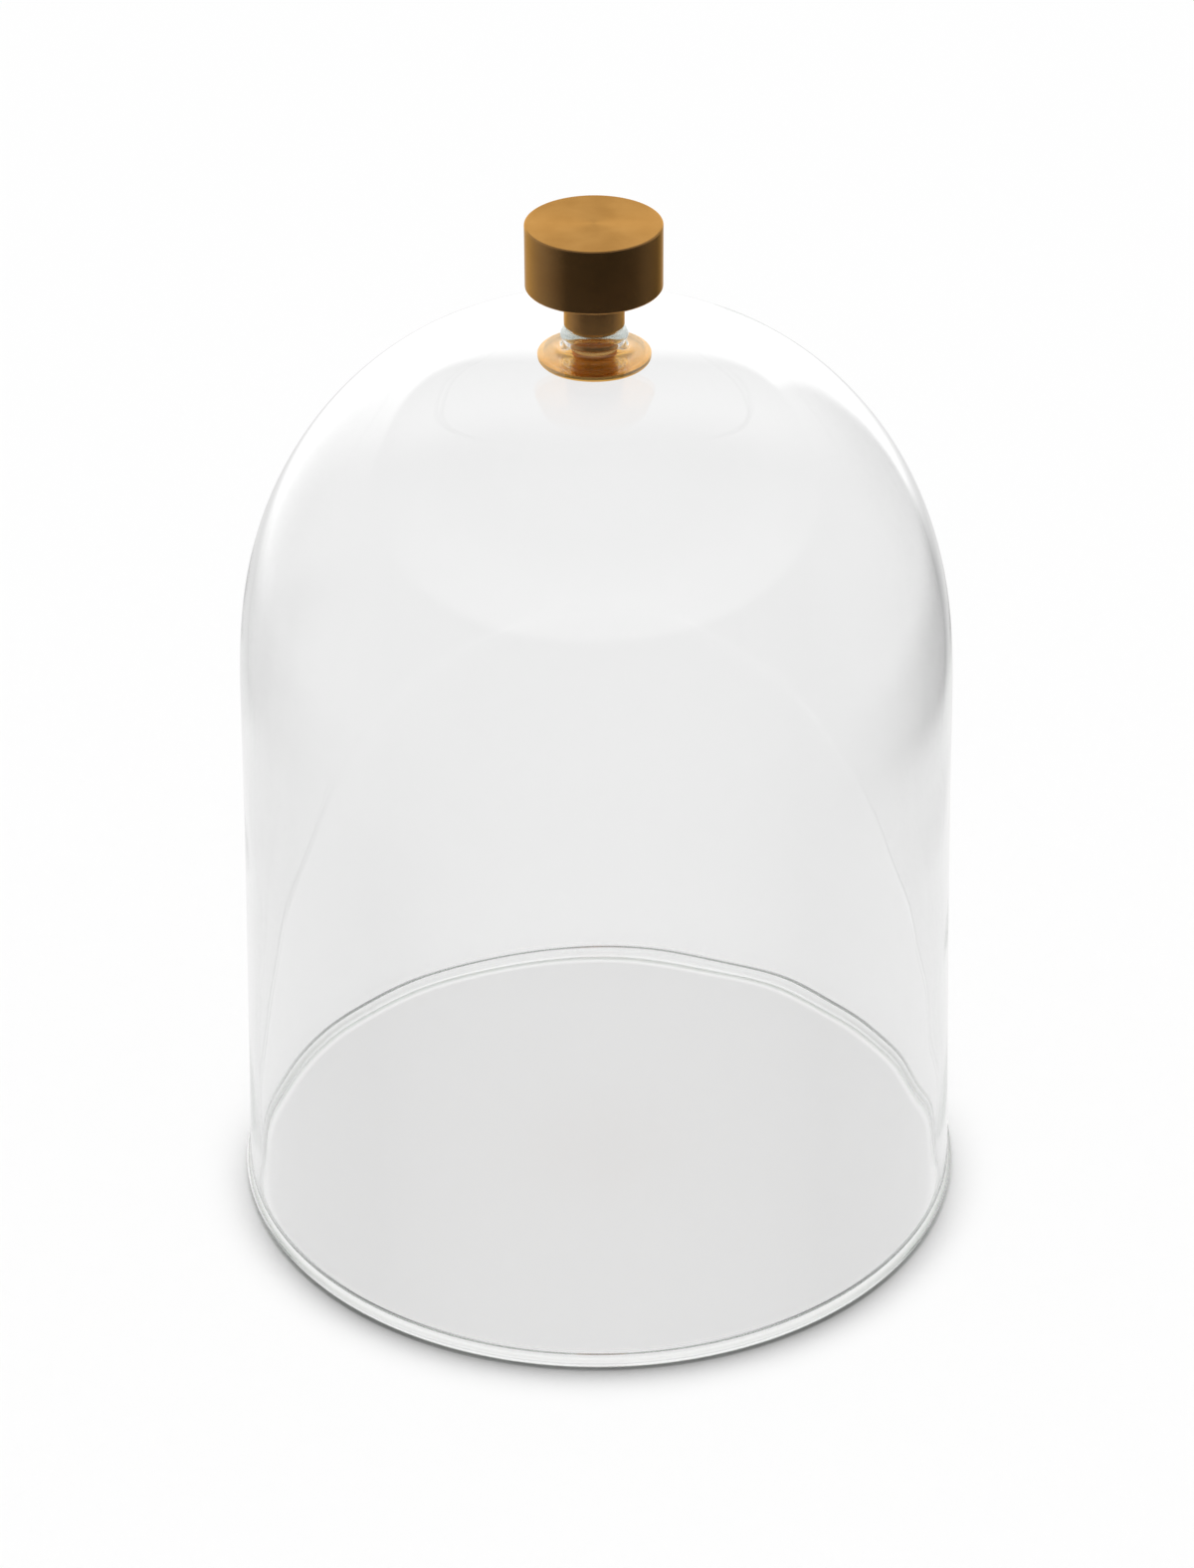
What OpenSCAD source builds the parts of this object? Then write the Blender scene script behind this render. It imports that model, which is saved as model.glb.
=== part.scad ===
// Bell jar dome: a blown glass bell with a short open neck, lifted by a turned brass knob.
// A screw and a plate inside the crown clamp the knob to the neck, with a soft ring on each
// side of the glass. The foot of the rim lies on z = 0 and the axis of the bell is +Z.

/* [Glass bell] */
// Outside diameter over the bead at the foot
rim_d = 200; // [170:1:240]
// Outside diameter where the wall turns into the crown
shoulder_d = 189; // [160:1:230]
// Height of the shoulder above the foot
shoulder_z = 157; // [80:1:240]
// Rise of the full crown curve above the shoulder
crown_h = 100.4; // [80:0.2:120]
// Depth to which the top of the crown is flattened round the neck
crown_dip = 5.6; // [0:0.1:7]
// Fullness of the crown, where 2 is an ellipse and more is squarer
crown_power = 2.19; // [2:0.01:2.4]
// Thickness of the wall and the crown
wall = 2.2; // [1.8:0.1:3]
// Thickness of the fire-polished bead at the foot
bead_d = 4.4; // [4:0.1:6]

/* [Neck] */
// Outside diameter of the neck under its lip
neck_d = 15.8; // [15:0.1:18]
// Bore of the neck
neck_bore = 11.6; // [11.4:0.1:12.4]
// Outside diameter of the rounded lip
lip_d = 17.4; // [17:0.1:20]
// Height of the flat on the lip above the crown
lip_rise = 5.2; // [4.8:0.1:8]

/* [Brass knob] */
// Diameter of the knob head
knob_d = 35; // [28:0.5:45]
// Height of the knob head
knob_h = 17; // [14:0.5:24]
// Diameter of the collar under the head
collar_d = 15.5; // [14:0.1:20]
// Height of the collar
collar_h = 10.5; // [6:0.5:13]

/* [Clamp inside the crown] */
// Diameter of the clamp plate
plate_d = 29; // [22:0.5:36]
// Thickness of the clamp plate
plate_t = 1.5; // [1:0.1:2.5]
// Thickness of each soft ring
gasket_t = 1; // [0.6:0.1:1.5]
// Outside diameter of the bush that fills the neck
bush_d = 11; // [10:0.1:11]
// Length of the M6 screw under its head
screw_l = 30; // [28:1:32]

/* [Hidden] */
$fn = 96;

BRASS = "#b98645";
SILICONE = "#dfe2dc";
GLASS = "#dcebe8";

// The wall flares from the shoulder down to the foot, and starts upright at the shoulder.
flare_power = 1.3;
// Share of the shoulder's radius over which the top of the crown is flattened.
dip_share = 0.6;
wall_steps = 16;
crown_steps = 44;
arc_steps = 10;

shoulder_r = shoulder_d / 2;
bead_r = bead_d / 2;
// The bead is ground to a narrow flat, so the bell stands on a ring and not on a line.
foot_grind = 0.12;
bead_z = bead_r - foot_grind;
bead_mid_r = rim_d / 2 - bead_r;
// Outside of the wall where it runs into the bead, which stands a little proud on each side.
foot_wall_r = bead_mid_r + wall / 2;

neck_r = neck_d / 2;
bore_r = neck_bore / 2;
lip_bead_r = 1.85;
lip_flat_cut = 0.05;
neck_fillet = 1.5;
bore_round = 1.2;

crown_top_z = crown_z(neck_r);
lip_z = crown_top_z + lip_rise;
lip_mid_z = lip_z - lip_bead_r + lip_flat_cut;
lip_mid_r = lip_d / 2 - lip_bead_r;

// Air between two faces that meet when the knob is tight and part when it is undone.
face_gap = 0.02;
collar_z = lip_z + gasket_t + face_gap;
knob_z = collar_z + collar_h;
crown_gasket_d = 26;
// The ring inside the crown meets the glass at its outer edge.
crown_gasket_z = crown_z(crown_gasket_d / 2) - wall - face_gap - gasket_t;
plate_z = crown_gasket_z - plate_t;

// M6 machine screw with a slotted cheese head, its thread drawn as a plain cylinder.
screw_d = 6;
head_d = 10;
head_h = 3.9;
slot_w = 1.6;
slot_h = 1.9;
tip_chamfer = 0.6;
thread_play = 0.05;
screw_play = 0.2;
ring_play = 0.3;

// The collar is centred in the head by a short spigot.
spigot_d = 10;
spigot_h = 1;
spigot_play = 0.03;
blind_depth = 10.5;
drill_point = 1.8;
head_chamfer = 0.4;
collar_chamfer = 0.3;
plate_chamfer = 0.3;

// Outside radius of the wall at height z, from the foot to the shoulder.
function wall_r(z) = shoulder_r + (foot_wall_r - shoulder_r) * pow(1 - z / shoulder_z, flare_power);

// How far the crown is lowered at radius r.
function dip(r) = crown_dip * pow(max(0, 1 - pow(r / (dip_share * shoulder_r), 2)), 2);

// Outside height of the crown at radius r.
function crown_z(r) = shoulder_z - dip(r)
    + crown_h * pow(1 - pow(r / shoulder_r, crown_power), 1 / crown_power);

// Outside point of the crown at curve angle t, 0 at the shoulder and 90 on the axis.
function crown_pt(t) = let (r = shoulder_r * pow(cos(t), 2 / crown_power)) [r, crown_z(r)];

// Unit normal of the crown at curve angle t, pointing out of the glass.
function crown_normal(t) =
    let (d = crown_pt(min(t + 0.5, 90)) - crown_pt(max(t - 0.5, 0)))
    [d[1], -d[0]] / norm(d);

// Curve angle at which the crown has radius r.
function crown_angle(r) = acos(pow(r / shoulder_r, crown_power / 2));

// Points of an arc round c from angle a to angle b.
function arc(c, r, a, b) = [for (i = [0:arc_steps])
    let (q = a + (b - a) * i / arc_steps) c + r * [cos(q), sin(q)]];

// Upright cylinder from height z with a chamfer on both edges.
module chamfered(d, h, c, z) {
    translate([0, 0, z]) rotate_extrude() polygon([
        [0, 0], [d / 2 - c, 0], [d / 2, c], [d / 2, h - c], [d / 2 - c, h], [0, h]]);
}

// Flat ring from height z.
module ring(outer_d, inner_d, h, z) {
    translate([0, 0, z]) difference() {
        cylinder(d = outer_d, h = h);
        translate([0, 0, -1]) cylinder(d = inner_d, h = h + 2);
    }
}

// Half section of the bell's wall, crown and neck, without its two beads.
module bell_section() {
    out_r = neck_r + neck_fillet;
    in_r = bore_r + bore_round;
    out_end = crown_angle(out_r);
    in_end = crown_angle(in_r);
    outside = [
        for (i = [0:wall_steps - 1])
            let (z = bead_z + (shoulder_z - bead_z) * i / wall_steps) [wall_r(z), z],
        for (i = [0:crown_steps]) crown_pt(out_end * i / crown_steps)];
    outer_fillet = arc([out_r, crown_z(out_r) + neck_fillet], neck_fillet, 270, 180);
    inner_round = arc([in_r, crown_z(in_r) - wall + bore_round], bore_round, 180, 270);
    inside = [
        for (i = [crown_steps:-1:0])
            let (t = in_end * i / crown_steps) crown_pt(t) - wall * crown_normal(t),
        for (i = [wall_steps - 1:-1:0])
            let (z = bead_z + (shoulder_z - bead_z) * i / wall_steps) [wall_r(z) - wall, z]];
    polygon(concat(outside, outer_fillet, [[neck_r, lip_mid_z], [bore_r, lip_mid_z]],
        inner_round, inside));
}

// Round bead of a section, cut flat at the bottom or the top.
module bead_section(mid_r, mid_z, r, low, high) {
    intersection() {
        translate([mid_r, mid_z]) circle(r = r);
        translate([mid_r - 2 * r, low]) square([4 * r, high - low]);
    }
}

module glass_bell() {
    color(GLASS, 0.35) rotate_extrude() {
        difference() {
            union() {
                bell_section();
                bead_section(bead_mid_r, bead_z, bead_r, 0, bead_d);
                bead_section(lip_mid_r, lip_mid_z, lip_bead_r, lip_mid_z - lip_bead_r, lip_z);
            }
            translate([0, lip_mid_z - lip_bead_r]) square([bore_r, 4 * lip_bead_r]);
        }
    }
}

module lip_gasket() {
    color(SILICONE, 0.6) ring(collar_d - 0.5, neck_bore, gasket_t, lip_z);
}

module collar() {
    color(BRASS) difference() {
        union() {
            chamfered(collar_d, collar_h, collar_chamfer, collar_z);
            translate([0, 0, knob_z - 0.5]) cylinder(d = spigot_d, h = spigot_h + 0.5);
        }
        translate([0, 0, collar_z - 1])
            cylinder(d = screw_d + 2 * screw_play, h = collar_h + spigot_h + 2);
    }
}

module knob_head() {
    hole_d = screw_d + 2 * thread_play;
    color(BRASS) difference() {
        chamfered(knob_d, knob_h, head_chamfer, knob_z);
        translate([0, 0, knob_z - 1])
            cylinder(d = spigot_d + 2 * spigot_play, h = spigot_h + 1.1);
        translate([0, 0, knob_z - 1]) cylinder(d = hole_d, h = blind_depth + 1);
        translate([0, 0, knob_z + blind_depth]) cylinder(d1 = hole_d, d2 = 0, h = drill_point);
    }
}

module clamp_screw() {
    color(BRASS) difference() {
        union() {
            translate([0, 0, plate_z - head_h]) cylinder(d = head_d, h = head_h);
            translate([0, 0, plate_z - 0.5]) cylinder(d = screw_d, h = screw_l + 0.5 - tip_chamfer);
            translate([0, 0, plate_z + screw_l - tip_chamfer])
                cylinder(d1 = screw_d, d2 = screw_d - 2 * tip_chamfer, h = tip_chamfer);
        }
        translate([-head_d, -slot_w / 2, plate_z - head_h - 1])
            cube([2 * head_d, slot_w, slot_h + 1]);
    }
}

// The bush keeps the collar and the plate apart, so the screw cannot crush the glass.
module neck_bush() {
    bottom = plate_z + plate_t;
    color(BRASS)
        ring(bush_d, screw_d + 2 * screw_play, collar_z - face_gap - bottom, bottom);
}

module crown_gasket() {
    color(SILICONE, 0.6) ring(crown_gasket_d, bush_d + 2 * ring_play, gasket_t, crown_gasket_z);
}

module clamp_plate() {
    color(BRASS) difference() {
        chamfered(plate_d, plate_t, plate_chamfer, plate_z);
        translate([0, 0, plate_z - 1]) cylinder(d = screw_d + 2 * screw_play, h = plate_t + 2);
    }
}

glass_bell();
lip_gasket();
collar();
knob_head();
clamp_screw();
neck_bush();
crown_gasket();
clamp_plate();
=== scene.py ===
"""Bell jar dome: a blown glass bell, carried by a turned brass knob that a screw and a plate clamp
to its open neck. Lengths are in metres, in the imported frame: the foot of the bell is on z = 0."""

import math

import bpy
import numpy as np
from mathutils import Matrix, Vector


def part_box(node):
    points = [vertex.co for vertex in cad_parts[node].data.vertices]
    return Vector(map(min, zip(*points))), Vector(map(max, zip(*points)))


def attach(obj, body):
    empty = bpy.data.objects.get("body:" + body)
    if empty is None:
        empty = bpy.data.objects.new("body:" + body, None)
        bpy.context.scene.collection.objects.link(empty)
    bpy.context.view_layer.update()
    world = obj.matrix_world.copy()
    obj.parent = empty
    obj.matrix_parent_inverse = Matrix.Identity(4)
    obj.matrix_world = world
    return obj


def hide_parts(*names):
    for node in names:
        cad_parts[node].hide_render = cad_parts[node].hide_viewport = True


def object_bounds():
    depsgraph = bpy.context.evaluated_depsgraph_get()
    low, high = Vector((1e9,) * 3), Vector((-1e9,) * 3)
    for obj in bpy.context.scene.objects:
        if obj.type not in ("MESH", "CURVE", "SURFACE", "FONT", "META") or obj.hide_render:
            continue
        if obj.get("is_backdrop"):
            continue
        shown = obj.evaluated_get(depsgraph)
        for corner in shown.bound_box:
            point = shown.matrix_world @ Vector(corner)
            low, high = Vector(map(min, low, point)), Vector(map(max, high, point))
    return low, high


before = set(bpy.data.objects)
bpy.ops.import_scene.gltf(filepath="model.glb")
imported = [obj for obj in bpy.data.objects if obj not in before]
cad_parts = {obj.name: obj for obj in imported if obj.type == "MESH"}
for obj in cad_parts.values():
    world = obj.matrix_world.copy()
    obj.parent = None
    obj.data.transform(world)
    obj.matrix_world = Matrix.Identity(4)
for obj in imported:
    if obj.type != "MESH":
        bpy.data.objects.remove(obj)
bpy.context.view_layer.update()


# ---------------------------------------------------------------------------------------------
# Glass bell. Clear soda-lime glass, blown in a mould, with the top opened to a short neck.
# Both cut edges are melted back in the flame, so the foot and the lip each end in a round bead.
# The wall is a little uneven, which bends the lines that are seen through it.

MM = 0.001
bell_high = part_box("glass_bell")[1]
WALL = 2.2 * MM
SHOULDER_R = 94.5 * MM
SHOULDER_Z = 157 * MM
CROWN_RISE = 100.4 * MM
CROWN_DIP = 5.6 * MM
DIP_R = 0.6 * SHOULDER_R
CROWN_POWER = 2.19
FLARE_POWER = 1.3
FOOT_BEAD_R = 2.2 * MM
FOOT_R = bell_high.x - FOOT_BEAD_R
NECK_MID_R = 6.85 * MM
NECK_BEND_R = 2.6 * MM
LIP_BEAD_R = 1.85 * MM
# Each melted edge eases back to the wall over its own length.
FOOT_EASE = 2 * MM
LIP_EASE = 1.6 * MM
BORE_EASE = 1 * MM
NECK_LENGTH = 13 * MM
# The inside and the outside of the wall wander by this much from a true surface of revolution.
# The foot and the neck are true, and the wander comes in over a stretch next to each.
INNER_WANDER = 0.08 * MM
OUTER_WANDER = 0.06 * MM
TRUE_FOOT = 6 * MM
FOOT_FADE = 20 * MM
NECK_FADE = 30 * MM
# Each wave's count round the bell, its length along the wall, and where it starts, in radians.
WAVES = [(3, 130 * MM, 0.3), (5, 71 * MM, 1.9), (8, 43 * MM, 4.1)]
BELL_SPOKES = 352
# Rows of points on each side of the glass, closest together where it turns most.
FOOT_ROWS, EASE_ROWS, WALL_ROWS, NECK_ROWS, LIP_ROWS = 12, 8, 86, 26, 10
MIDDLE_SAMPLES = 3000


def mesh_object(name, points, faces):
    """A smooth-shaded object at the origin from an array of points and a list of faces."""
    mesh = bpy.data.meshes.new(name)
    mesh.from_pydata(np.asarray(points).reshape(-1, 3).tolist(), [], faces)
    mesh.polygons.foreach_set("use_smooth", np.ones(len(mesh.polygons), bool))
    made = bpy.data.objects.new(name, mesh)
    bpy.context.scene.collection.objects.link(made)
    return made


def revolve(name, r, z, spokes, closed=True):
    """A turned surface: row i at angle a is the point (r cos a, r sin a, z), where r and z have one
    value for each row, or one for each row and angle. The rows run up the outside, so the faces
    point out. The last row joins the first, or, if not closed, a fan to a pole shuts each end."""
    rows = len(r)
    angle = np.linspace(0, 2 * math.pi, spokes, endpoint=False)
    r = np.broadcast_to(np.asarray(r, float).reshape(rows, -1), (rows, spokes))
    z = np.broadcast_to(np.asarray(z, float).reshape(rows, -1), (rows, spokes))
    points = np.stack([r * np.cos(angle), r * np.sin(angle), z], axis=-1).reshape(-1, 3)
    row = np.arange(rows if closed else rows - 1)[:, None] * spokes
    above = (row + spokes) % (rows * spokes)
    here = np.arange(spokes)[None, :]
    after = (here + 1) % spokes
    quads = np.stack([row + here, row + after, above + after, above + here], axis=-1)
    faces = quads.reshape(-1, 4).tolist()
    if not closed:
        low, high, last = len(points), len(points) + 1, (rows - 1) * spokes
        points = np.vstack([points, [0, 0, z[0, 0]], [0, 0, z[-1, 0]]])
        faces += [[low, (i + 1) % spokes, i] for i in range(spokes)]
        faces += [[high, last + i, last + (i + 1) % spokes] for i in range(spokes)]
    return mesh_object(name, points, faces)


def softened(values, reach):
    """Values averaged with the weights of a bell curve, whose deviation is that many samples. Past
    each end the values go on as their own reflection through it, so the ends stay in place."""
    window = np.exp(-0.5 * (np.arange(-3 * reach, 3 * reach + 1) / reach) ** 2)
    start = 2 * values[0] - values[3 * reach:0:-1]
    end = 2 * values[-1] - values[-2:-3 * reach - 2:-1]
    return np.convolve(np.concatenate([start, values, end]), window / window.sum(), "valid")


def bell_middle():
    """The line half way through the glass, from the foot up to the lip, evenly spaced.
    The wall's radius grows from the shoulder down as a power of the depth below it. The crown is
    a superellipse, lowered round the axis by a bowl-shaped dip. A quarter circle turns it up
    into the neck. It is smoothed, most of all at the shoulder, so its curvature has no steps.
    Returns the distance along the line, and the radius and the height at each sample."""
    wall_z = np.linspace(0, SHOULDER_Z, 400)[:-1]
    flare = FOOT_R + WALL / 2 - SHOULDER_R
    wall_r = SHOULDER_R - WALL / 2 + flare * (1 - wall_z / SHOULDER_Z) ** FLARE_POWER
    turn = np.linspace(0, math.pi / 2, 800)
    outer_r = SHOULDER_R * np.cos(turn) ** (2 / CROWN_POWER)
    dip = CROWN_DIP * np.clip(1 - (outer_r / DIP_R) ** 2, 0, None) ** 2
    outer_z = SHOULDER_Z + CROWN_RISE * np.sin(turn) ** (2 / CROWN_POWER) - dip
    slope_r, slope_z = np.gradient(outer_r), np.gradient(outer_z)
    crown_r = outer_r - WALL / 2 * slope_z / np.hypot(slope_r, slope_z)
    crown_z = outer_z + WALL / 2 * slope_r / np.hypot(slope_r, slope_z)
    crown = crown_r > NECK_MID_R + NECK_BEND_R
    bend = np.linspace(0, math.pi / 2, 40)[1:]
    bend_r = NECK_MID_R + NECK_BEND_R * (1 - np.sin(bend))
    bend_z = crown_z[crown][-1] + NECK_BEND_R * (1 - np.cos(bend))
    r = np.concatenate([wall_r, crown_r[crown], bend_r, [NECK_MID_R]])
    z = np.concatenate([wall_z, crown_z[crown], bend_z, [bell_high.z]])
    along = np.concatenate([[0], np.cumsum(np.hypot(np.diff(r), np.diff(z)))])
    even = np.linspace(0, along[-1], MIDDLE_SAMPLES)
    r, z = np.interp(even, along, r), np.interp(even, along, z)
    at_shoulder = np.exp(-((even - SHOULDER_Z) / (40 * MM)) ** 2)
    much, little = 90, 8
    r, z = (at_shoulder * softened(v, much) + (1 - at_shoulder) * softened(v, little) for v in (r, z))
    return even, r, z


def melted_edge(distance, radius, reach):
    """Half thickness of the glass at a distance from a melted edge: a circle of that radius as far
    as its widest point, and then a cosine that eases down to half the wall."""
    round_end = np.sqrt(np.clip(radius ** 2 - (radius - distance) ** 2, 0, None))
    ease = np.clip((distance - radius) / reach, 0, 1)
    neck_in = WALL / 2 + (radius - WALL / 2) * (1 + np.cos(math.pi * ease)) / 2
    return np.where(distance < radius, round_end, neck_in)


def wander(angle, along, phase):
    """A slow unevenness from -1 to 1: three products of a wave round the bell and one along it."""
    return sum(np.cos(count * angle + start + phase)
               * np.cos(2 * math.pi * along / length + start * phase)
               for count, length, start in WAVES) / len(WAVES)


def glass_bell():
    """The wall between an outer and an inner surface. Each is the middle line moved along its
    normal by half the thickness there, plus its own wander, which fades out at both ends. The
    rows go up the outside and down the inside, so the shell closes on itself."""
    along, r, z = bell_middle()
    total = along[-1]
    neck = total - NECK_LENGTH
    foot_rows = FOOT_BEAD_R * (1 - np.cos(np.linspace(0, math.pi / 2, FOOT_ROWS)))
    lip_rows = total - LIP_BEAD_R * (1 - np.cos(np.linspace(math.pi / 2, 0, LIP_ROWS)))
    rows = np.concatenate([
        foot_rows, FOOT_BEAD_R + np.linspace(0.6, 6, EASE_ROWS) * MM,
        np.linspace(FOOT_BEAD_R + 9 * MM, neck, WALL_ROWS),
        np.linspace(neck, lip_rows[0], NECK_ROWS)[1:-1], lip_rows])
    r, z, slope_r, slope_z = (np.interp(rows, along, v) for v in (
        r, z, np.gradient(r, along), np.gradient(z, along)))
    length = np.hypot(slope_r, slope_z)
    out_r, out_z = slope_z / length, -slope_r / length
    foot = melted_edge(rows, FOOT_BEAD_R, FOOT_EASE)
    # A mandrel shapes the bore, so the lip swells outwards only.
    lip_outside = melted_edge(total - rows, LIP_BEAD_R, LIP_EASE)
    lip_inside = melted_edge(total - rows, WALL / 2, BORE_EASE)
    half_out, half_in = foot + lip_outside - WALL / 2, foot + lip_inside - WALL / 2
    fade = (np.clip((rows - TRUE_FOOT) / FOOT_FADE, 0, 1)
            * np.clip((neck - rows) / NECK_FADE, 0, 1))
    angle = np.linspace(0, 2 * math.pi, BELL_SPOKES, endpoint=False)[None, :]
    columns = [v[:, None] for v in (r, z, out_r, out_z, rows, half_out, half_in, fade)]
    r, z, out_r, out_z, rows, half_out, half_in, fade = columns
    outer = half_out + OUTER_WANDER * fade * wander(angle, rows, 0)
    inner = half_in + INNER_WANDER * fade * wander(angle, rows, 2)
    outer_r, outer_z = r + out_r * outer, z + out_z * outer
    inner_r, inner_z = r - out_r * inner, z - out_z * inner
    return revolve("glass_bell_blown", np.vstack([outer_r, inner_r[-2:0:-1]]),
                   np.vstack([outer_z, inner_z[-2:0:-1]]), BELL_SPOKES)


def linear(code):
    """The linear colour of an sRGB hex code."""
    parts = [int(code[i:i + 2], 16) / 255 for i in (1, 3, 5)]
    return tuple(p / 12.92 if p <= 0.04045 else ((p + 0.055) / 1.055) ** 2.4 for p in parts) + (1,)


def add(tree, kind, settings=None, inputs=None):
    """Adds a node to a tree, gives it settings and socket values, and links what is a socket."""
    made = tree.nodes.new("ShaderNode" + kind)
    for name, value in (settings or {}).items():
        setattr(made, name, value)
    for name, value in (inputs or {}).items():
        if isinstance(value, bpy.types.NodeSocket):
            tree.links.new(value, made.inputs[name])
        else:
            made.inputs[name].default_value = value
    return made


def new_material(name):
    """An empty material, its node tree and its output node."""
    made = bpy.data.materials.new(name)
    made.use_nodes = True
    made.node_tree.nodes.clear()
    return made, made.node_tree, add(made.node_tree, "OutputMaterial")


def clear_glass():
    """Soda-lime glass, fire polished: colourless through the wall, and faintly green along the
    long way through it, where the iron in the glass shows in the beads and the lip."""
    made, tree, output = new_material("clear_blown_glass")
    shader = add(tree, "BsdfPrincipled", inputs={
        "Base Color": linear("#FFFFFF"), "Roughness": 0.0, "IOR": 1.52, "Transmission Weight": 1.0})
    iron = add(tree, "VolumeAbsorption", inputs={"Color": linear("#B4C8B8"), "Density": 1.5})
    tree.links.new(shader.outputs["BSDF"], output.inputs["Surface"])
    tree.links.new(iron.outputs["Volume"], output.inputs["Volume"])
    return made


bell = glass_bell()
bell.data.materials.append(clear_glass())
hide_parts("glass_bell")
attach(bell, "bell")


# ---------------------------------------------------------------------------------------------
# Lip gasket and crown gasket. Two flat rings cut from clear silicone sheet, one on the lip and
# one under the crown. They keep brass off glass, and their outer edges are rounded.

bush_low, bush_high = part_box("neck_bush")
RING_PLAY = 0.3 * MM
SEAT = 0.015 * MM
SOFT_EDGE = 0.42 * MM
CUT_EDGE = 0.12 * MM
SILICONE_MOTTLE = 1.5 * MM
TURNED_SPOKES = 192


def rounded(corners, radii, steps=5, hold=1.3, same_point=1e-8):
    """A loop of corners (r, z) with each turned into an arc: the parabola that touches both sides
    at the radius from the corner. One more point on each side, at hold times the radius, keeps
    the flats' shading even. Points that fall together are merged, so radius 0 stays sharp."""
    corners = np.asarray(corners, float)
    radii = np.broadcast_to(radii, len(corners))[:, None]
    ahead = np.roll(corners, -1, axis=0) - corners
    ahead /= np.linalg.norm(ahead, axis=1, keepdims=True)
    back = -np.roll(ahead, 1, axis=0)
    t = np.linspace(0, 1, steps)[None, :, None]
    start = (corners + radii * back)[:, None]
    end = (corners + radii * ahead)[:, None]
    arc = (1 - t) ** 2 * start + 2 * t * (1 - t) * corners[:, None] + t ** 2 * end
    before = (corners + hold * radii * back)[:, None]
    after = (corners + hold * radii * ahead)[:, None]
    loop = np.concatenate([before, arc, after], axis=1).reshape(-1, 2)
    return loop[np.linalg.norm(np.roll(loop, -1, axis=0) - loop, axis=1) > same_point]


def turned(name, corners, radii, closed=True):
    """A surface turned from a loop of corners (r, z) that runs up the outside."""
    loop = rounded(corners, radii)
    return revolve(name, loop[:, 0], loop[:, 1], TURNED_SPOKES, closed)


def stand_for(piece, node, body, material):
    """Finishes a piece: its material, the CAD node it stands for and its body."""
    piece.data.materials.append(material)
    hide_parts(node)
    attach(piece, body)


def clear_silicone():
    """Clear silicone rubber with the sheet's faint mottle. Squeezed flat it clings to the glass and
    the metal with no air between, so it hardly bends or mirrors light. The rings here have air on
    both sides, so the index is set far under the rubber's own 1.4 to give the eye the same."""
    made, tree, output = new_material("clear_silicone_rubber")
    place = add(tree, "TexCoord").outputs["Object"]
    mottle = add(tree, "TexNoise", inputs={
        "Vector": place, "Scale": 1 / SILICONE_MOTTLE}).outputs["Fac"]
    rough = add(tree, "MapRange", inputs={"Value": mottle, "To Min": 0.0, "To Max": 0.05})
    tint = add(tree, "Mix", {"data_type": "RGBA"}, {
        0: mottle, 6: linear("#FBFBF8"), 7: linear("#F4F5F0")})
    shader = add(tree, "BsdfPrincipled", inputs={
        "Base Color": tint.outputs[2], "Roughness": rough.outputs["Result"], "IOR": 1.02,
        "Transmission Weight": 1.0})
    tree.links.new(shader.outputs["BSDF"], output.inputs["Surface"])
    return made


silicone = clear_silicone()
for name, node, body in (("lip_gasket_ring", "lip_gasket", "bell"),
                         ("crown_gasket_ring", "crown_gasket", "clamp")):
    low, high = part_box(node)
    foot, bore = low.z + SEAT, bush_high.x + RING_PLAY
    ring = turned(name, [(bore, foot), (high.x, foot), (high.x, high.z), (bore, high.z)],
                  [CUT_EDGE, SOFT_EDGE, SOFT_EDGE, CUT_EDGE])
    stand_for(ring, node, body, silicone)


# ---------------------------------------------------------------------------------------------
# Collar. A short brass spacer, turned from bar and bored for the screw. Its lower face presses
# the lip gasket, and a shallow spigot on top centres it in the knob head.

SCREW_R = 3 * MM
SCREW_PLAY = 0.2 * MM
SPIGOT_R = 5 * MM
EDGE = 0.25 * MM
# Sizes of the stain and of the grain in the brass, and how far the grain stands beside the cuts.
BRASS_CLOUD = 7 * MM
BRASS_GRAIN = 0.3 * MM
GRAIN_TO_CUTS = 0.15
collar_low, collar_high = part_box("collar")
head_low, head_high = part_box("knob_head")


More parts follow.
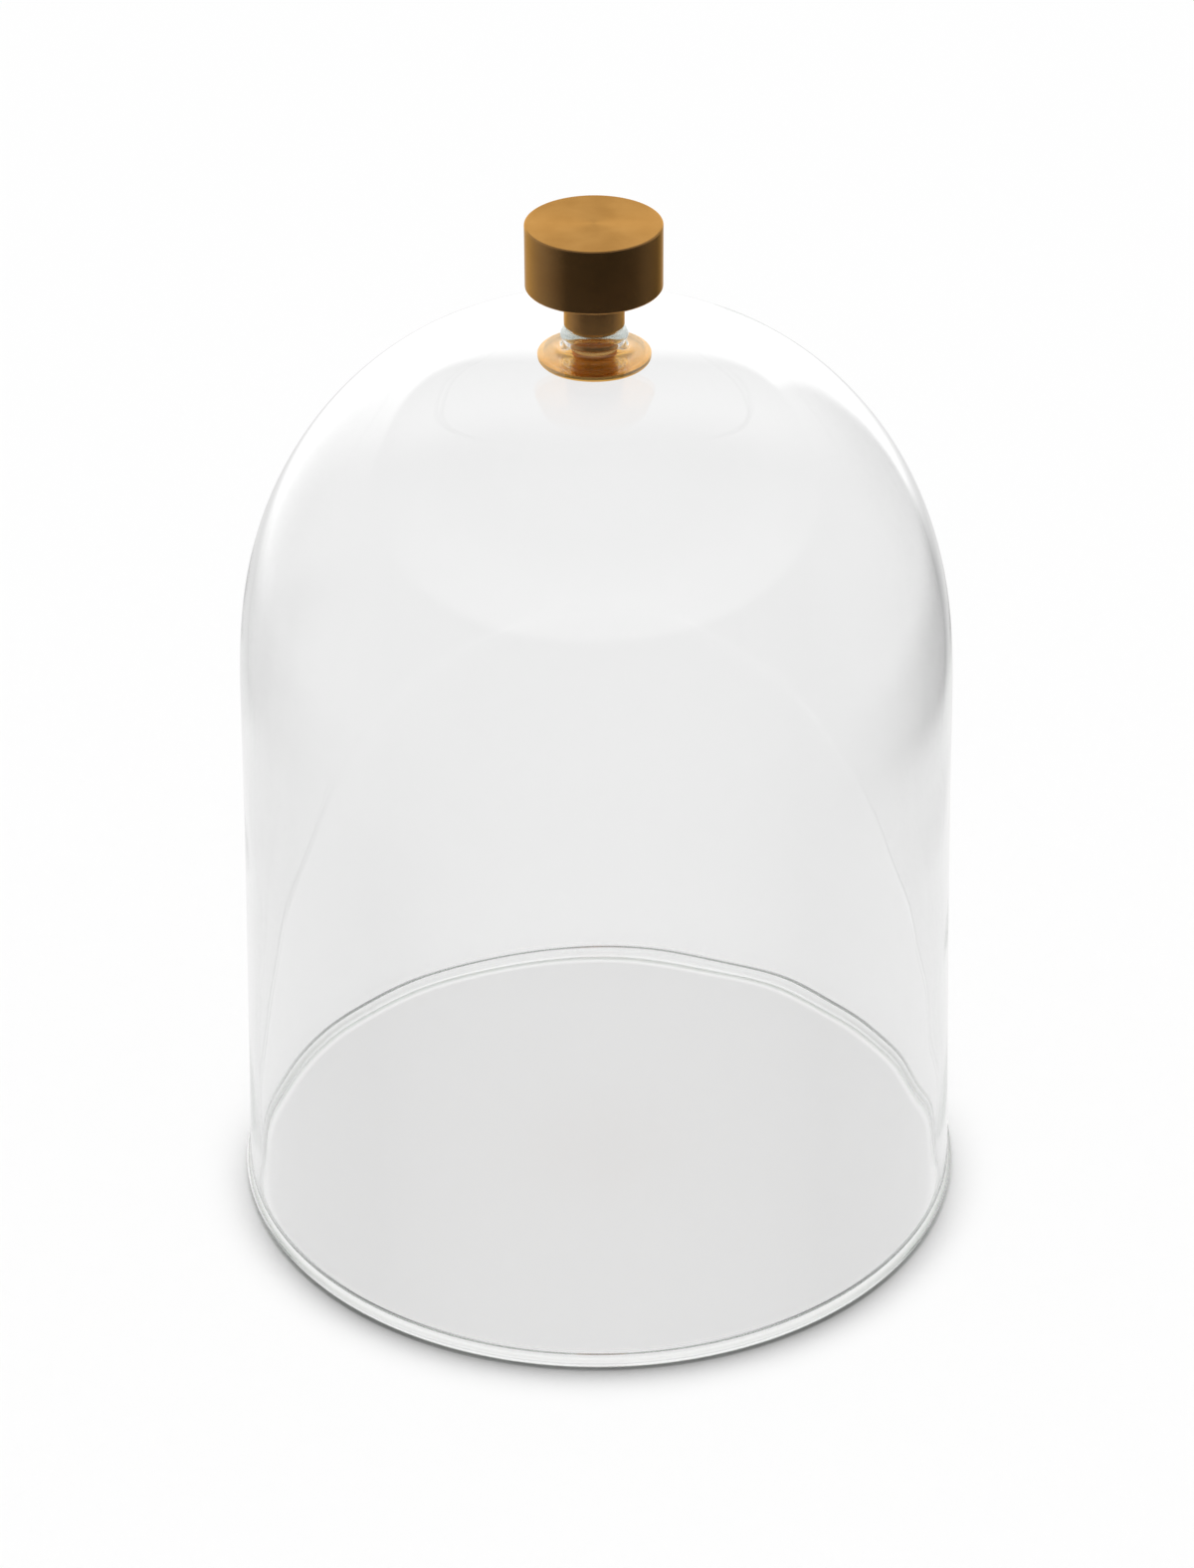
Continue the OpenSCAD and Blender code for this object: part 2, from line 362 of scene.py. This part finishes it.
def brass(name, tint, stain, roughness, groove, spacing, anisotropy):
    """Free-cutting brass, turned on a lathe and lacquered: yellow-brown metal, a little redder and
    duller in slow clouds, with a fine grain. The tool's lines follow the sum of the radius and
    the height, so they run round the walls and the faces alike, and draw reflections out across
    them. Groove is their depth and spacing their pitch, coarser than the real ones so they show."""
    made, tree, output = new_material(name)
    place = add(tree, "TexCoord").outputs["Object"]
    cloud = add(tree, "TexNoise", inputs={
        "Vector": place, "Scale": 1 / BRASS_CLOUD, "Detail": 4.0}).outputs["Fac"]
    grain = add(tree, "TexNoise", inputs={
        "Vector": place, "Scale": 1 / BRASS_GRAIN, "Detail": 3.0}).outputs["Fac"]
    axes = add(tree, "SeparateXYZ", inputs={"Vector": place})
    x, y, z = (axes.outputs[i] for i in range(3))
    x_squared = add(tree, "Math", {"operation": "MULTIPLY"}, {0: x, 1: x})
    squares = add(tree, "Math", {"operation": "MULTIPLY_ADD"}, {0: y, 1: y, 2: x_squared.outputs[0]})
    radius = add(tree, "Math", {"operation": "SQRT"}, {0: squares.outputs[0]})
    path = add(tree, "Math", {"operation": "ADD"}, {0: radius.outputs[0], 1: z})
    cuts = add(tree, "TexNoise", {"noise_dimensions": "1D"}, {
        "W": path.outputs[0], "Scale": 1 / spacing, "Detail": 2.0, "Roughness": 0.6}).outputs["Fac"]
    colour = add(tree, "Mix", {"data_type": "RGBA"}, {0: cloud, 6: linear(stain), 7: linear(tint)})
    dull = add(tree, "MapRange", inputs={
        "Value": cloud, "To Min": roughness * 1.25, "To Max": roughness * 0.8})
    relief = add(tree, "Math", {"operation": "MULTIPLY_ADD"}, {0: grain, 1: GRAIN_TO_CUTS, 2: cuts})
    bump = add(tree, "Bump", inputs={"Distance": groove, "Height": relief.outputs[0]})
    round_axis = add(tree, "Tangent", {"direction_type": "RADIAL", "axis": "Z"})
    shader = add(tree, "BsdfPrincipled", inputs={
        "Base Color": colour.outputs[2], "Metallic": 1.0, "Roughness": dull.outputs["Result"],
        "Specular Tint": linear("#F6DDB4"), "Anisotropic": anisotropy,
        "Anisotropic Rotation": 0.25, "Tangent": round_axis.outputs["Tangent"],
        "Normal": bump.outputs["Normal"]})
    tree.links.new(shader.outputs["BSDF"], output.inputs["Surface"])
    return made


satin_brass = brass("satin_turned_brass", "#C69860", "#B68650", roughness=0.22,
                    groove=0.0008 * MM, spacing=0.25 * MM, anisotropy=0.6)
bore = SCREW_R + SCREW_PLAY
collar = turned("collar_spacer", [
    (bore, collar_low.z), (collar_high.x, collar_low.z), (collar_high.x, head_low.z),
    (SPIGOT_R, head_low.z), (SPIGOT_R, collar_high.z), (bore, collar_high.z)],
    [EDGE, EDGE, EDGE, 0, EDGE, EDGE])
stand_for(collar, "collar", "knob", satin_brass)


# ---------------------------------------------------------------------------------------------
# Knob head. A plain brass cylinder with its edges broken, faced to a fine satin on top. A blind
# hole in its underside is tapped for the screw, and a shallow recess takes the collar's spigot.

THREAD_PLAY = 0.05 * MM
SPIGOT_PLAY = 0.03 * MM
RECESS_SPARE = 0.1 * MM
BLIND_DEPTH = 10.5 * MM
DRILL_POINT = 1.8 * MM
HEAD_EDGE = 0.4 * MM
# The outline stops this far from the axis, and a small flat fan shuts what is left.
AXIS_R = 0.3 * MM

hole_r = SCREW_R + THREAD_PLAY
recess_r, recess_z = SPIGOT_R + SPIGOT_PLAY, collar_high.z + RECESS_SPARE
blind_z = head_low.z + BLIND_DEPTH

knob = turned("knob_head_turned", [
    (AXIS_R, blind_z + DRILL_POINT), (hole_r, blind_z), (hole_r, recess_z), (recess_r, recess_z),
    (recess_r, head_low.z), (head_high.x, head_low.z), (head_high.x, head_high.z),
    (AXIS_R, head_high.z)], [0, 0, 0, 0, EDGE, HEAD_EDGE, HEAD_EDGE, 0], closed=False)
stand_for(knob, "knob_head", "knob", satin_brass)


# ---------------------------------------------------------------------------------------------
# Clamp screw. An M6 brass machine screw with a slotted cheese head. It comes up through the
# plate and the neck and into the knob, and its head shows through the crown.

PITCH = 1 * MM
THREAD_DEPTH = 0.541 * PITCH
SCREW_HEAD_R = 5 * MM
SLOT_WIDTH = 1.6 * MM
SLOT_DEPTH = 1.9 * MM
TIP = 0.6 * MM
PLAIN_SHANK = 0.45 * MM
RUN_OUT = 1.5 * MM
SLOT_EDGE = 0.12 * MM
SHANK_RINGS = 481
screw_low, screw_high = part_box("clamp_screw")
plate_low, plate_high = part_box("clamp_plate")


def thread_r(z, angle):
    """Radius of the shank: the major radius less a groove of 60 degrees that climbs one pitch in
    a turn. It is flat on top for an eighth of a pitch and below for a quarter, and fades out
    towards the head. The tip is cut to a cone."""
    phase = (z / PITCH - angle / (2 * math.pi)) % 1
    from_crest = PITCH * (0.5 - np.abs(phase - 0.5))
    groove = np.clip((from_crest - PITCH / 16) * math.sqrt(3), 0, THREAD_DEPTH)
    fade = np.clip((z - plate_low.z - PLAIN_SHANK) / RUN_OUT, 0, 1)
    return np.minimum(SCREW_R - groove * fade, SCREW_R - TIP + (screw_high.z - z))


def clamp_screw():
    """One closed shell. Its rings share one set of angles, of which four lie on the slot's edges.
    The first ring is level with the slot's floor, and each half of the head goes on down from it
    to a flat face shaped like a D."""
    edge = math.asin(SLOT_WIDTH / 2 / SCREW_HEAD_R)
    ear = np.linspace(edge, math.pi - edge, 31)
    gap = np.linspace(math.pi - edge, math.pi + edge, 5)[1:-1]
    angle = np.concatenate([ear, gap, ear + math.pi, gap + math.pi])
    shank_z = np.linspace(plate_low.z, screw_high.z, SHANK_RINGS)
    z = np.concatenate([[screw_low.z + SLOT_DEPTH, plate_low.z], shank_z])[:, None] + 0 * angle
    r = np.vstack([0 * z[:2] + SCREW_HEAD_R, thread_r(z[2:], angle)])
    rings = np.stack([r * np.cos(angle), r * np.sin(angle), z], axis=-1).reshape(-1, 3)
    foot = rings[:len(angle)].copy()
    foot[:, 2] = screw_low.z
    n, halves = len(angle), (0, len(ear) + len(gap))
    faces = [[k + i, k + (i + 1) % n, k + n + (i + 1) % n, k + n + i]
             for k in range(0, len(rings) - n, n) for i in range(n)]
    faces.append([len(rings) - n + i for i in range(n)])
    floor = [*range(halves[1] + len(ear) - 1, n), 0, *range(len(ear) - 1, halves[1] + 1)]
    faces.append(floor[::-1])
    points, first = [rings], len(rings)
    for half in halves:
        up, down = half + np.arange(len(ear)), first + np.arange(len(ear))
        faces += np.stack([down[:-1], down[1:], up[1:], up[:-1]], axis=1).tolist()
        faces.append(down[::-1].tolist())
        faces.append([down[0], up[0], up[-1], down[-1]])
        points.append(foot[half:half + len(ear)])
        first += len(ear)
    faces = [[int(corner) for corner in face] for face in faces]
    return mesh_object("clamp_screw_threaded", np.vstack(points), faces)


screw = clamp_screw()
eased = screw.modifiers.new("eased_edges", "BEVEL")
eased.width = SLOT_EDGE
eased.segments = 2
eased.angle_limit = math.radians(80)
eased.harden_normals = True
plain_brass = brass("plain_machined_brass", "#DFAE6E", "#CC9A5E", roughness=0.24,
                    groove=0.0008 * MM, spacing=0.15 * MM, anisotropy=0.2)
stand_for(screw, "clamp_screw", "clamp", plain_brass)


# ---------------------------------------------------------------------------------------------
# Neck bush. A brass tube round the screw that fills the neck. It stands between the plate and
# the collar, so the screw can be done up hard against it without crushing the glass.

bush = turned("neck_bush_tube", [
    (bore, bush_low.z), (bush_high.x, bush_low.z), (bush_high.x, bush_high.z),
    (bore, bush_high.z)], EDGE)
stand_for(bush, "neck_bush", "clamp", plain_brass)


# ---------------------------------------------------------------------------------------------
# Clamp plate. A polished brass disc, bored for the screw, that spreads the screw's pull over the
# crown. Its lower edge is rounded well back, so only a thin bright rim shows under the neck.

PLATE_UNDER_EDGE = 0.95 * MM
PLATE_TOP_EDGE = 0.12 * MM

plate = turned("clamp_plate_disc", [
    (bore, plate_low.z), (plate_high.x, plate_low.z), (plate_high.x, plate_high.z),
    (bore, plate_high.z)], [EDGE, PLATE_UNDER_EDGE, PLATE_TOP_EDGE, EDGE])
# Painted light, in part: the disc's polish is real, but its base colour is lighter and yellower than
# the knob's brass, to stand in for the bright backdrop it mirrors through the crown.
plate_brass_painted_light = brass("faced_brass_painted_light", "#FFCC78", "#F4BE68", roughness=0.18,
                     groove=0.0005 * MM, spacing=0.3 * MM, anisotropy=0.6)
stand_for(plate, "clamp_plate", "clamp", plate_brass_painted_light)


# ---------------------------------------------------------------------------------------------
# The room. A white table and a white backdrop, seen directly and through the glass. What the
# glass and the brass mirror is darker: a bright screen behind them that fades out to the left,
# a table that is lit from the back and ends in shadow, a dim ceiling, and an unlit room.

TABLE_LIGHT = 1.105
TABLE_WHITE = 0.9
ROOM = 0.06
CEILING = 0.25
BACK_WALL = 0.5
UNDERFOOT = 0.85
LIT_TABLE = 0.92
SCREEN = 1.3
# Heights between which each layer of the room gives way to the next, from the floor up. A height
# is that of a direction, the sine of its elevation.
LIT_TABLE_FROM = (-0.85, -0.65)
FAR_TABLE_FROM = (-0.53, -0.47)
SCREEN_FROM = (-0.38, -0.22)
BACK_WALL_FROM = (0.425, 0.47)
CEILING_FROM = (0.6, 0.9)
# Brightness round the room by azimuth in degrees, where 0 is the back and 90 the right.
SCREEN_ROUND = [(-140, ROOM), (-106, 0.3), (-74, 0.5), (-52, 0.7), (-28, SCREEN), (26, SCREEN),
                (30, 0.65), (60, 0.5), (105, 0.12), (140, ROOM)]
FAR_TABLE_ROUND = [(-168, 0.035), (-133, 0.065), (-106, 0.23), (-74, 0.36), (-40, 0.65), (0, 0.85),
                   (20, 0.7), (32, 0.35), (52, 0.1), (157, 0.03)]


def grey(value):
    """An opaque grey of that linear value."""
    return (value, value, value, 1)


def round_the_room(tree, share, stops):
    """Brightness between the stops, where the share of the way round from -180 degrees is given."""
    ramp = add(tree, "ValToRGB", inputs={"Fac": share})
    for _ in stops[2:]:
        ramp.color_ramp.elements.new(0.5)
    for element, (degrees, bright) in zip(ramp.color_ramp.elements, stops):
        element.position = (degrees + 180) / 360
        element.color = grey(bright)
    return ramp.outputs["Color"]


def mirrored(tree):
    """What a mirror sees in the room by direction: the floor, the table that is lit from the back,
    its far end, the screen, the wall over it and the ceiling, each blended into the next."""
    axes = add(tree, "SeparateXYZ", inputs={"Vector": add(tree, "TexCoord").outputs["Generated"]})
    x, y, height = (axes.outputs[i] for i in range(3))
    azimuth = add(tree, "Math", {"operation": "ARCTAN2"}, {0: x, 1: y})
    share = add(tree, "MapRange", inputs={
        "Value": azimuth.outputs[0], "From Min": -math.pi, "From Max": math.pi}).outputs["Result"]
    lit = add(tree, "MapRange", inputs={
        "Value": y, "From Min": -0.2, "From Max": 0.84,
        "To Min": ROOM, "To Max": LIT_TABLE}).outputs["Result"]
    layers = [(LIT_TABLE_FROM, lit),
              (FAR_TABLE_FROM, round_the_room(tree, share, FAR_TABLE_ROUND)),
              (SCREEN_FROM, round_the_room(tree, share, SCREEN_ROUND)),
              (BACK_WALL_FROM, grey(BACK_WALL)),
              (CEILING_FROM, grey(CEILING))]
    seen = grey(UNDERFOOT)
    for (low, high), layer in layers:
        given_way = add(tree, "MapRange", {"interpolation_type": "SMOOTHSTEP"}, {
            "Value": height, "From Min": low, "From Max": high})
        seen = add(tree, "Mix", {"data_type": "RGBA"}, {
            0: given_way.outputs["Result"], 6: seen, 7: layer}).outputs[2]
    return seen


def mirror_path(tree):
    """1 on a path that has met a mirror and nothing matt, and 0 on any other."""
    path = add(tree, "LightPath")
    met_mirror = add(tree, "Math", {"operation": "GREATER_THAN"}, {
        0: path.outputs["Glossy Depth"], 1: 0.5})
    met_no_matt = add(tree, "Math", {"operation": "LESS_THAN"}, {
        0: path.outputs["Diffuse Depth"], 1: 0.5})
    return add(tree, "Math", {"operation": "MULTIPLY"}, {
        0: met_mirror.outputs[0], 1: met_no_matt.outputs[0]}).outputs[0]


world = bpy.data.worlds.new("white_room")
world.use_nodes = True
world.cycles.sampling_method = "NONE"
bpy.context.scene.world = world
sky = world.node_tree
sky.nodes.clear()
lamps = add(sky, "MapRange", inputs={
    "Value": add(sky, "LightPath").outputs["Diffuse Depth"], "To Min": 1.0, "To Max": TABLE_LIGHT})
seen = add(sky, "Mix", {"data_type": "RGBA"}, {
    0: mirror_path(sky), 6: lamps.outputs["Result"], 7: mirrored(sky)})
light = add(sky, "Background", inputs={"Color": seen.outputs[2]})
sky.links.new(light.outputs["Background"], add(sky, "OutputWorld").inputs["Surface"])

# Painted shadow: ambient occlusion darkens the table's own colour close to the front of the foot,
# as if the bell shaded light from the back. Painted shade inside the foot: a plain grey for the
# light the glass keeps off the table. Painted light under the bead: the table there stays white.
# The grey of the painted shade on the table inside the foot.
PAINTED_SHADE_INSIDE = 0.75
INSIDE_ENDS = (FOOT_R - 4.2 * MM, FOOT_R - 2.6 * MM)
SHADOW_STARTS = (FOOT_R + FOOT_BEAD_R / 4, FOOT_R + FOOT_BEAD_R)
SHADOW_REACH = 16 * MM
SHADOW_DEPTH = 3.4
SHADOW_BEHIND = 0.08
SHADOW_FLOOR = 0.15
# From here to here, going forward, the shadow grows to its full depth.
SHADOW_GROWS = (FOOT_R / 4, -0.8 * FOOT_R)
TABLE_HALF = 6.0

table_white, tree, output = new_material("white_table")
place = add(tree, "TexCoord").outputs["Object"]
spread = add(tree, "VectorMath", {"operation": "LENGTH"}, {0: place}).outputs["Value"]
outside = add(tree, "MapRange", inputs={
    "Value": spread, "From Min": INSIDE_ENDS[0], "From Max": INSIDE_ENDS[1]}).outputs["Result"]
front = add(tree, "MapRange", inputs={
    "Value": add(tree, "SeparateXYZ", inputs={"Vector": place}).outputs["Y"],
    "From Min": SHADOW_GROWS[0], "From Max": SHADOW_GROWS[1],
    "To Min": SHADOW_BEHIND, "To Max": 1.0}).outputs["Result"]
# Painted shadow: the ambient occlusion below darkens the table's colour, most of all in front of the
# foot.
nearness = add(tree, "AmbientOcclusion", {"samples": 12}, {"Distance": SHADOW_REACH}).outputs["AO"]
covered = add(tree, "Math", {"operation": "SUBTRACT"}, {0: 1.0, 1: nearness}).outputs[0]
squared = add(tree, "Math", {"operation": "MULTIPLY"}, {0: covered, 1: covered}).outputs[0]
# Painted light: the painted shadow stops short of the bead, so the table under it stays white.
clear_of_bead = add(tree, "MapRange", inputs={
    "Value": spread, "From Min": SHADOW_STARTS[0], "From Max": SHADOW_STARTS[1]}).outputs["Result"]
forward = add(tree, "Math", {"operation": "MULTIPLY"}, {0: squared, 1: front}).outputs[0]
shadow = add(tree, "Math", {"operation": "MULTIPLY"}, {0: forward, 1: clear_of_bead}).outputs[0]
unshaded = add(tree, "Math", {"operation": "MULTIPLY_ADD"}, {
    0: shadow, 1: -SHADOW_DEPTH, 2: 1.0}).outputs[0]
held = add(tree, "Math", {"operation": "MAXIMUM"}, {0: unshaded, 1: SHADOW_FLOOR}).outputs[0]
outer = add(tree, "Math", {"operation": "MULTIPLY"}, {0: held, 1: TABLE_WHITE}).outputs[0]
# Painted shade inside the foot gives way to the white table, with its painted shadow, outside.
table_tone = add(tree, "Mix", {"data_type": "RGBA"}, {
    0: outside, 6: grey(PAINTED_SHADE_INSIDE), 7: outer}).outputs[2]
paint = add(tree, "BsdfDiffuse", inputs={"Color": table_tone})
table_skips = add(tree, "MixShader", inputs={
    0: mirror_path(tree), 1: paint.outputs[0], 2: add(tree, "BsdfTransparent").outputs[0]})
tree.links.new(table_skips.outputs[0], output.inputs["Surface"])
corners = [(-TABLE_HALF, -TABLE_HALF, 0), (TABLE_HALF, -TABLE_HALF, 0),
           (TABLE_HALF, TABLE_HALF, 0), (-TABLE_HALF, TABLE_HALF, 0)]
table = mesh_object("table", corners, [[0, 1, 2, 3]])
table.data.materials.append(table_white)
table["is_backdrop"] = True

scene = bpy.context.scene
scene.view_settings.view_transform = "Standard"
# The wall pipes light from the foot up to the lip, by some hundreds of reflections inside it.
WALL_REFLECTIONS = 800
scene.cycles.max_bounces = WALL_REFLECTIONS
scene.cycles.transmission_bounces = WALL_REFLECTIONS
scene.cycles.glossy_bounces = WALL_REFLECTIONS
scene.cycles.transparent_max_bounces = 24
scene.cycles.blur_glossy = 0.0

# The camera stands a metre in front of the bell, on a long lens, and looks down on it. It hangs a
# third of a degree out of level.
LENS_MM = 99.61
SENSOR_MM = 36
CAMERA_PLACE = (0, -0.998, 0.7344)
LOOK_DOWN = math.radians(31.58)
OUT_OF_LEVEL = -0.006
camera = bpy.data.objects.new("camera", bpy.data.cameras.new("camera"))
scene.collection.objects.link(camera)
camera.data.lens = LENS_MM
camera.data.sensor_width = SENSOR_MM
camera.location = CAMERA_PLACE
camera.rotation_mode = "ZYX"
camera.rotation_euler = (math.pi / 2 - LOOK_DOWN, 0, OUT_OF_LEVEL)
scene.camera = camera

low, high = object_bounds()
